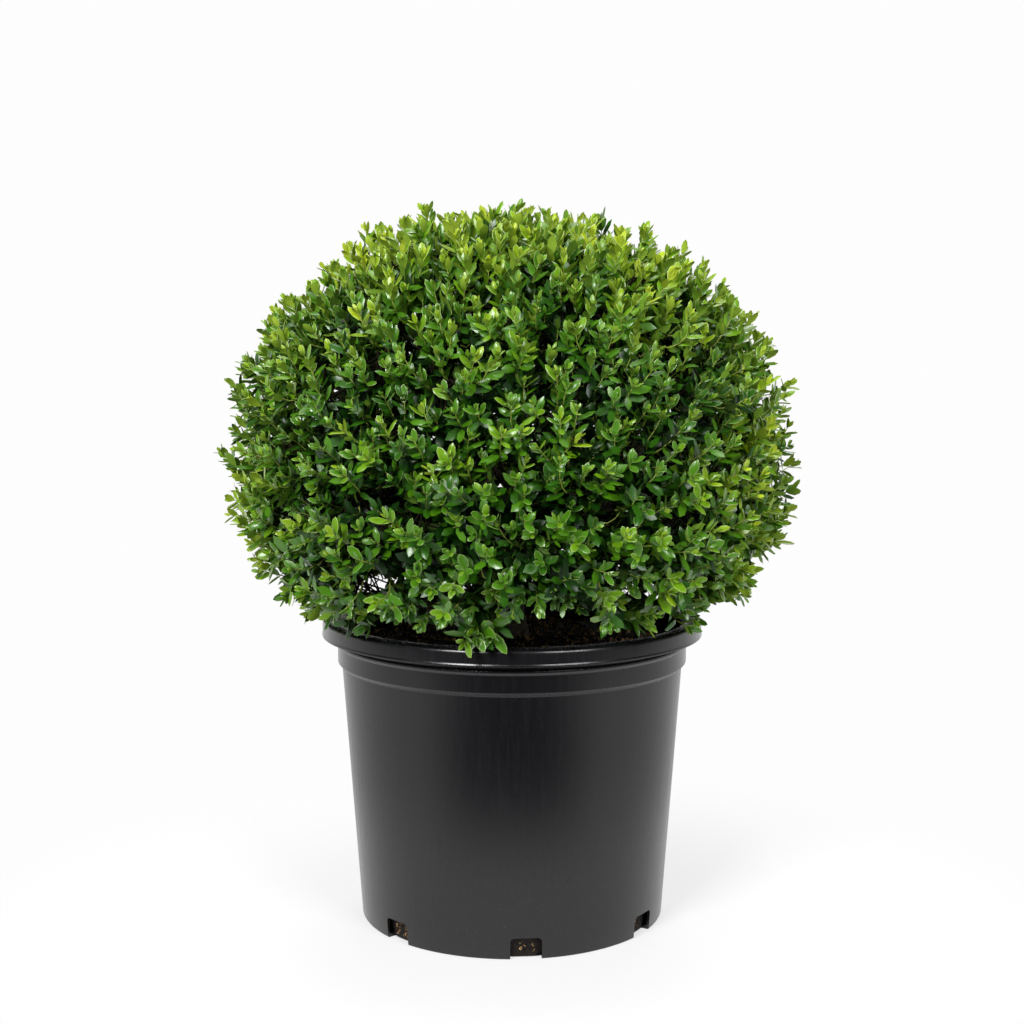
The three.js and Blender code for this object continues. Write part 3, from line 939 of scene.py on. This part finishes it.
def place_leaves(holly, controls, layer):
    """Root, direction, width and face vectors of each leaf, with its order from the tip."""
    crown, leaves = holly.crown, holly.leaves
    rng = np.random.default_rng(crown.seed + 2)
    outer = layer == 0
    counts = np.where(outer, rng.integers(13, 18, len(outer)), rng.integers(7, 11, len(outer)))
    shoot = np.repeat(np.arange(len(outer)), counts)
    hanging = shoot >= len(outer) - len(HANGING_TIPS)
    order = np.concatenate([np.arange(number) for number in counts])
    pair = order // 2
    # Pairs of leaves stand closer together towards the tip of the shoot.
    steps = np.minimum(1.0 + 0.9 * np.arange(16), 4.4) * MM
    spacing = np.concatenate([[0.0], np.cumsum(steps)])
    back = spacing[pair] + rng.uniform(0, 1.2 * MM, len(order))
    line = bezier(controls[:, None], np.linspace(0, 1, 9))
    run = np.linalg.norm(np.diff(line, axis=1), axis=2).sum(1)
    share = np.clip(1 - back / run[shoot], 0.05, 1)
    root = bezier(controls[shoot], share)
    axis = unit(bezier(np.diff(controls, axis=1)[shoot], share))
    first = unit(np.cross(helper_for(axis), axis))
    second = np.cross(axis, first)
    turn = rng.uniform(0, FULL_TURN, len(outer))[shoot] + pair * math.radians(97) + order % 2 * math.pi
    turn += rng.normal(0, 0.25, len(order))
    side = first * np.cos(turn)[:, None] + second * np.sin(turn)[:, None]
    # They open wider down the shoot, and wider low in the crown than at the top.
    spread = np.interp(root[:, 2], np.array([370, 460]) * MM, (1, 0))
    opening = np.minimum(16 + 6 * spread + (6 + 4 * spread) * pair, 45 + 13 * spread)
    open_angle = np.radians(opening + rng.normal(0, 9, len(order)))
    cosine, sine = np.cos(open_angle)[:, None], np.sin(open_angle)[:, None]
    along = unit(axis * cosine + side * sine)
    face = axis * sine - side * cosine + UP * 0.12 + rng.normal(0, 0.2, along.shape)
    across = unit(np.cross(face, along))
    face = np.cross(along, across)
    grown = np.minimum(0.5 + 0.22 * pair, 1.0)
    size = leaves.size * grown * np.clip(rng.normal(1, 0.15, len(order)), 0.65, 1.35)
    size *= np.interp(root[:, 2], *SIZE_BY_LEVEL)
    size *= np.where(outer[shoot], 1, 1.15)
    size *= np.where(hanging, 1.25, 1)

    # A leaf fits if it is clear of the sky lines, inside the surface and above the hem, on a shoot
    # that keeps most of its leaves.
    fits = np.ones(len(order), dtype=bool)
    for first_point, last_point, radius in SKY_LINES:
        line = unit(np.subtract(last_point, first_point))
        away = root + along * size[:, None] / 2 - first_point
        fits &= np.linalg.norm(np.cross(away, line), axis=1) > radius
    for reach, edge in ((0.0, 0.0), (0.3, 0.0), (1.0, 0.0), (0.55, 0.25), (0.55, -0.25)):
        point = root + along * (size * reach)[:, None] + across * (size * edge)[:, None]
        away = point - UP * crown.middle
        distance = np.linalg.norm(away, axis=1)
        fits &= distance < reach_along(crown, away / distance[:, None]) + STRAY
        fits &= point[:, 2] > lowest_leaf(crown, point, ~hanging)
    near_tip = pair < 4
    fits &= ~near_tip | (np.bincount(shoot[fits & near_tip], minlength=len(outer))[shoot] > 3)
    kept = np.bincount(shoot[fits], minlength=len(outer)) / counts
    fits &= (kept[shoot] > 0.5) | hanging
    shape = np.where(outer[shoot] & (pair < 3), 0, np.maximum(layer, 1)[shoot])
    found = {"shoot": shoot, "share": share, "pair": pair, "shape": shape, "size": size}
    found |= {"root": root, "along": along, "across": across, "face": face}
    return {key: value[fits] for key, value in found.items()}


# Half widths of a leaf at shares of its length, and the share of a half width that is margin: the leaves
# at the tips of outer shoots have margins lightened as a painted edge highlight, and the others lie
# deeper.
LEAF_SHAPES = {
    "outer": (((0.19, 0.29), (0.52, 0.49), (0.84, 0.34)), 0.13),
    "inner": (((0.3, 0.42), (0.72, 0.43)), 0.0),
    "core": (((0.58, 0.52),), 0.0),
}
UPPER, UNDER, EDGE = range(3)

# Tints from the darkest, which paints shade inside the crown, to the newest: how far undersides fade,
# partly as painted light through the leaf, how far margins fade as a painted edge highlight, and the waxy
# shine.
TINTS = {
    "shade": (0.06, 0.08, 0.05),
    "deep": (0.12, 0.15, 0.35),
    "leaf": (0.22, 0.22, 0.8),
    "fresh": (0.3, 0.28, 0.75),
    "spring": (0.3, 0.3, 0.5),
    "lime": (0.3, 0.3, 0.35),
}
# The level of a leaf's youth, with its painted light, where each next tint begins.
TINT_STEPS = (0.12, 0.34, 0.56, 0.76, 0.95)


def strip(low, high):
    """Triangles between two chains of points, which may share their ends."""
    triangles = []
    for a, b, c, d in zip(low, low[1:], high[1:], high):
        triangles += [(a, b, c)] if b != c else []
        triangles += [(a, c, d)] if a != d else []
    return triangles


def leaf_pattern(stations, margin):
    """Template points (along, across, share of the fold, share of the thickness) of one leaf.

    Also gives its triangles, each triangle's kind, and the pairs of points with a crisp edge.
    """
    count = len(stations)
    outline = [(0, 0), *((x, -y) for x, y in stations), (1, 0), *((x, y) for x, y in stations[::-1])]
    points = [(x, y, 0, 0) for x, y in outline]
    if margin:
        points += [(x + (0.5 - x) * margin / 2, y * (1 - margin), margin, 0.4) for x, y in outline]
    over = range(len(points), len(points) + count)
    points += [(x, 0, 1, 0.5) for x, _ in stations]
    under = range(len(points), len(points) + count)
    points += [(x, 0, 1, -0.5) for x, _ in stations]
    edge = list(range(len(outline)))
    inset = [index + len(outline) for index in edge] if margin else edge
    triangles, kinds, crisp = [], [], []
    for loop, ridge, kind in ((inset, over, UPPER), (edge, under, UNDER)):
        left = loop[: count + 2]
        right = [loop[0], *loop[: count + 1 : -1], loop[count + 1]]
        rib = [loop[0], *ridge, loop[count + 1]]
        halves = [(left, rib), (rib, right)] if kind == UPPER else [(rib, left), (right, rib)]
        for low, high in halves:
            triangles += strip(low, high)
        crisp += zip(loop, [*loop[1:], loop[0]])
        kinds += [kind] * (len(triangles) - len(kinds))
    if margin:
        triangles += strip([*edge, 0], [*inset, inset[0]])
        kinds += [EDGE] * (len(triangles) - len(kinds))
    return np.array(points), np.array(triangles), np.array(kinds), np.sort(crisp, axis=1)


def leaf_piece(name, found, chosen, shape, leaves, materials, rng):
    """Joins the chosen leaves into one piece with glossy upper faces and paler undersides."""
    points, triangles, kinds, crisp = leaf_pattern(*shape)
    size = found["size"][chosen][:, None, None]
    slim = leaves.slimness * rng.uniform(0.88, 1.12, size.shape)
    bend = rng.uniform(-0.1, 0.22, size.shape)
    fold = rng.uniform(-0.6, 1.0, size.shape) * leaves.fold
    forward, sideways, folded, thick = (points[None, :, part, None] for part in range(4))
    rise = folded * fold * slim + thick * leaves.thickness / size - bend * forward**2
    vertices = (
        found["root"][chosen][:, None]
        + found["along"][chosen][:, None] * forward * size
        + found["across"][chosen][:, None] * sideways * size * slim
        + found["face"][chosen][:, None] * rise * size
    )
    count, corners = vertices.shape[:2]
    faces = (triangles + np.arange(count)[:, None, None] * corners).reshape(-1, 3)

    def on_crease(ends):
        local = np.sort(ends % corners, axis=1)
        return np.isin(local @ (corners, 1), crisp @ (corners, 1))

    piece = mesh_object(name, vertices.reshape(-1, 3), faces, materials, np.tile(kinds, count), on_crease)
    finish_piece(piece, "foliage", *FOLIAGE_NODES)


class HOLLY_OT_twigs(bpy.types.Operator):
    """Grows the stems, twigs and shoots that carry the leaves"""

    bl_idname = "holly.twigs"
    bl_label = "Twigs and Shoots"

    def execute(self, context):
        holly = context.scene.holly
        crown, shoots = holly.crown, holly.shoots
        old = plain_growth("holly_twig_old_wood", shoots.old_wood, 0.7, 0.0)
        new = plain_growth("holly_shoot_new_wood", shoots.new_wood, 0.5, 0.1)
        points = 7
        ends = [
            (in_mass(crown, face, BOUGH_END + 0.002), in_mass(crown, face, STEM_END))
            for face, _ in mass_directions()
        ]
        stems = np.array([np.linspace(start, end, points) for start, end in ends])
        branches, _ = spray_branches(crown)
        lines = np.concatenate([stems, bezier(branches[:, None], np.linspace(0, 1, points))])
        thick = np.repeat([2.4 * MM, 1.5 * MM], [len(stems), len(branches)])
        shape = tubes(lines, thick[:, None] * np.linspace(1, 0.5, points), 6)
        finish_piece(mesh_object("twigs_old_wood", *shape, [old]), "bark", *FOLIAGE_NODES)

        controls, layer, _ = grow_shoots(holly)
        found = place_leaves(holly, controls, layer)
        end = np.zeros(len(controls))
        np.maximum.at(end, found["shoot"], found["share"])
        controls, end = controls[end > 0], end[end > 0, None]
        for name, skin, slot, part, taper, points in (
            ("shoots_old_wood", old, "bark", (0, 0.56), (1, 0.8), 3),
            ("shoots_new_wood", new, "foliage", (0.54, 1.0), (0.78, 0.4), 4),
        ):
            lines = bezier(controls[:, None], end * np.linspace(*part, points))
            radii = np.tile(shoots.radius * np.linspace(*taper, points), (len(controls), 1))
            finish_piece(mesh_object(name, *tubes(lines, radii, 3), [skin]), slot, *FOLIAGE_NODES)
        return {"FINISHED"}


class HOLLY_OT_leaves(bpy.types.Operator):
    """Sets the leaves along the shoots, in tints from new growth to the painted shade deep in the crown
    """

    bl_idname = "holly.leaves"
    bl_label = "Leaves"

    def execute(self, context):
        holly = context.scene.holly
        crown, leaves = holly.crown, holly.leaves
        rng = np.random.default_rng(crown.seed + 3)
        controls, layer, parent = grow_shoots(holly)
        found = place_leaves(holly, controls, layer)
        high = (controls[:, 3, 2] - crown.underside) / (crown.middle + crown.rise - crown.underside)
        flank = np.abs(controls[:, 3, 0]) / crown.radius
        # Shoots are younger towards the top and leaves towards their tips; the lighter top is partly
        # painted light from above. The tint also carries painted light and shade: lighter on the outside
        # and the flanks, darker inside the crown and on hanging shoots.
        vigour_and_painted_light = np.interp(high, (0, 0.3, 0.6, 1), (0.15, 0.21, 0.26, 0.65))
        # Outer shoots are lighter and inner ones darker: painted shade inside the crown.
        vigour_and_painted_light += np.where(layer == 0, 0.16, np.interp(high, (0, 0.3), (-0.55, -0.26)))
        # Both flanks, and their low parts most, are lighter as painted light.
        vigour_and_painted_light += 0.2 * np.clip(flank * 2.5 - 1.5, 0, 1)
        vigour_and_painted_light += 0.12 * np.clip(flank * 2, 0, 1) * np.interp(high, (0.2, 0.4), (1, 0))
        vigour_and_painted_light += rng.normal(0, 0.07, parent.max() + 1)[parent]
        vigour_and_painted_light += rng.normal(0, 0.12, len(vigour_and_painted_light))
        # Hanging shoots are darker, those past the front ones darker still as painted shade under the
        # crown.
        vigour_and_painted_light[-len(HANGING_TIPS) :] -= 0.08
        vigour_and_painted_light[-len(HANGING_TIPS) + FRONT_TIPS :] -= 0.17
        pair = found["pair"]
        tender = np.interp(high, (0, 0.5, 1), (0.17, 0.23, 0.3))[found["shoot"]]
        youth_and_painted_light = vigour_and_painted_light[found["shoot"]] + tender * np.exp(-pair / 1.6) - 0.05 * np.maximum(pair - 2, 0)
        youth_and_painted_light += rng.normal(0, 0.05, len(youth_and_painted_light))
        tint = np.digitize(youth_and_painted_light, TINT_STEPS)
        for index, (name, (fade, rim, shine)) in enumerate(TINTS.items()):
            base = np.array(getattr(leaves, name))
            # Undersides are paler, partly their own colour and partly painted light shining through the
            # leaf.
            pale = base + (np.array(leaves.underside) - base) * fade
            # Margins are lightened as a painted highlight along the edges.
            edge_highlight = base + (np.array(leaves.margin) - base) * rim
            skins = [
                plain_growth(f"holly_leaf_{name}", base, 0.36, shine),
                plain_growth(f"holly_leaf_{name}_under", pale, 0.55, 0.0),
                plain_growth(f"holly_leaf_{name}_margin", edge_highlight, 0.4, shine),
            ]
            for kind, (place, shape) in enumerate(LEAF_SHAPES.items()):
                chosen = np.flatnonzero((tint == index) & (found["shape"] == kind))
                if len(chosen):
                    leaf_piece(f"leaves_{name}_{place}", found, chosen, shape, leaves, skins, rng)
        return {"FINISHED"}


# The stage


# Where the floor begins to glow, inside the foot of the pot, and where it begins to fade. Inside the glow
# radii the floor is left unlit, as painted shade where the notches show it.
GLOW_RADII = (0.1045, 0.1065)
FADE_RADIUS = 0.21

# Lamps by name: place, aim, size and power.
LAMPS = {
    "key_light": ((-0.85, -1.58, 1.2), (0, 0, 0.33), 0.7, 37.5),
    "fill_light": ((0.9, -1.4, 1.0), (0, 0, 0.33), 0.7, 17),
    "back_light": ((0.2, 1.6, 1.3), (0, 0, 0.33), 1.2, 11),
    "top_light": ((0.0, 0.1, 1.9), (0, 0, 0.4), 0.9, 9.5),
}

# The room's brightness by direction: the axis, its range, and the brightness at both ends, which may
# be an earlier row. A dark front and a brighter room beside and behind give the pot its sheen.
ROOM = (
    ("front", "Z", (-0.33, -0.2, 0.03, 0.23), "LINEAR"),
    ("beside", "Y", (-0.93, -0.35, "front", 1.0), "SMOOTHSTEP"),
    ("level", "Z", (0.05, 0.4, 0.78, 0.12), "SMOOTHSTEP"),
    ("behind", "Y", (-0.3, 0.9, 0.28, 1.7), "LINEAR"),
    ("low", "Z", (-0.3, -0.05, 1.0, "behind"), "SMOOTHSTEP"),
)
# How bright the camera sees the backdrop, and the width of its sensor in millimetres.
BACKDROP = 0.985
SENSOR_WIDTH = 36.0


def area_light(name, place, aim, size, power):
    """A soft square lamp at a place, turned to its aim."""
    lamp = bpy.data.lights.new(name, "AREA")
    lamp.size = size
    lamp.energy = power
    item = link_object(name, lamp)
    away = unit(np.subtract(place, aim))
    item.location = place
    item.rotation_euler = (math.acos(away[2]), 0, math.atan2(away[0], -away[1]))


def matt_paper(stage):
    """A sweep of matt white paper, lit from below, that fades into the backdrop at its rim and is left
    unlit under the pot as painted shade.
    """
    lit = {
        "Base Color": (*(part * (1 - stage.glow) for part in stage.floor), 1.0),
        "Roughness": 0.9,
        "Emission Color": (*stage.floor, 1.0),
    }
    paper, tree, shader = shaded("paper_sweep_matt", lit)
    place = add_node(tree, "ShaderNodeTexCoord").outputs["Object"]
    far = add_node(tree, "ShaderNodeVectorMath", {0: place}, operation="LENGTH").outputs["Value"]
    fading = dict(zip(RANGE, (far, FADE_RADIUS, stage.floor_radius, 1.0, 0.0)))
    fade = add_node(tree, "ShaderNodeMapRange", fading, interpolation_type="SMOOTHSTEP")
    # The glow falls to nothing under the pot: painted shade.
    glow = add_node(tree, "ShaderNodeMapRange", dict(zip(RANGE, (far, *GLOW_RADII, 0.0, stage.glow))))
    outcome = {"Alpha": fade.outputs["Result"], "Emission Strength": glow.outputs["Result"]}
    set_inputs(tree, shader, outcome)
    return paper


class HOLLY_OT_stage(bpy.types.Operator):
    """Lays the pale floor and sets the lights and the camera"""

    bl_idname = "holly.stage"
    bl_label = "Stage"

    def execute(self, context):
        scene = context.scene
        stage = scene.holly.stage
        side = np.arange(FLOOR_SEGMENTS)
        turn = FULL_TURN * side / FLOOR_SEGMENTS
        rim = stage.floor_radius * np.stack([np.cos(turn), np.sin(turn), 0 * turn], -1)
        corners = np.concatenate([[[0, 0, 0]], rim]) - UP * 0.2 * MM
        faces = np.stack([0 * side, 1 + side, 1 + (side + 1) % FLOOR_SEGMENTS], -1)
        floor = mesh_object("floor", corners, faces, [matt_paper(stage)])
        floor.data.shade_flat()

        world = bpy.data.worlds.new("studio")
        scene.world = world
        world.use_nodes = True
        tree = world.node_tree
        place = add_node(tree, "ShaderNodeTexCoord").outputs["Generated"]
        way = add_node(tree, "ShaderNodeSeparateXYZ", {"Vector": place}).outputs
        found = {}
        for name, axis, ends, kind in ROOM:
            inputs = dict(zip(RANGE, (way[axis], *(found.get(end, end) for end in ends))))
            ramp = add_node(tree, "ShaderNodeMapRange", inputs, interpolation_type=kind)
            found[name] = ramp.outputs["Result"]
        room = found["beside"]
        for name in ("low", "level"):
            product = add_node(tree, "ShaderNodeMath", {0: room, 1: found[name]}, operation="MULTIPLY")
            room = product.outputs["Value"]
        seen = add_node(tree, "ShaderNodeLightPath").outputs["Is Camera Ray"]
        strength = add_node(tree, "ShaderNodeMix", {"Factor": seen, "A": room, "B": BACKDROP})
        sky = {"Color": (1.0, 1.0, 1.0, 1.0), "Strength": strength.outputs["Result"]}
        set_inputs(tree, tree.nodes["Background"], sky)
        for name, settings in LAMPS.items():
            area_light(name, *settings)
        scene.view_settings.view_transform = "Standard"

        lens = bpy.data.cameras.new("camera")
        lens.lens = stage.lens
        lens.sensor_width = SENSOR_WIDTH
        camera = link_object("camera", lens)
        camera.location = (0, -stage.camera_distance, stage.camera_height)
        camera.rotation_euler = (math.pi / 2 - stage.camera_tilt, 0, 0)
        scene.camera = camera
        return {"FINISHED"}


class HOLLY_PT_panel(bpy.types.Panel):
    """Lists the pieces of the potted holly with their settings"""

    bl_idname = "HOLLY_PT_panel"
    bl_label = "Potted Dwarf Holly"
    bl_space_type = "VIEW_3D"
    bl_region_type = "UI"
    bl_category = "Holly"

    def draw(self, context):
        for key, operator in zip(HollySettings.__annotations__, OPERATORS):
            group = getattr(context.scene.holly, key)
            box = self.layout.box()
            box.operator(operator.bl_idname)
            for setting in group.__annotations__:
                box.prop(group, setting)


# Both in the order of the groups in HollySettings, which is the order of building.
SETTINGS = (PotSettings, MixSettings, CrownSettings, ShootSettings, LeafSettings, StageSettings)
OPERATORS = (
    *(HOLLY_OT_pot, HOLLY_OT_potting_mix, HOLLY_OT_limbs),
    *(HOLLY_OT_twigs, HOLLY_OT_leaves, HOLLY_OT_stage),
)
CLASSES = (*SETTINGS, HollySettings, *OPERATORS, HOLLY_PT_panel)


def register():
    """Registers the classes and hangs the settings on the scene."""
    for item in CLASSES:
        bpy.utils.register_class(item)
    bpy.types.Scene.holly = PointerProperty(type=HollySettings)


def unregister():
    """Takes the settings off the scene and removes the classes."""
    del bpy.types.Scene.holly
    for item in reversed(CLASSES):
        bpy.utils.unregister_class(item)


def main():
    """Builds the plant and its stage."""
    register()
    bpy.ops.holly.pot()
    bpy.ops.holly.potting_mix()
    bpy.ops.holly.limbs()
    bpy.ops.holly.twigs()
    bpy.ops.holly.leaves()
    bpy.ops.holly.stage()


if __name__ == "__main__":
    main()
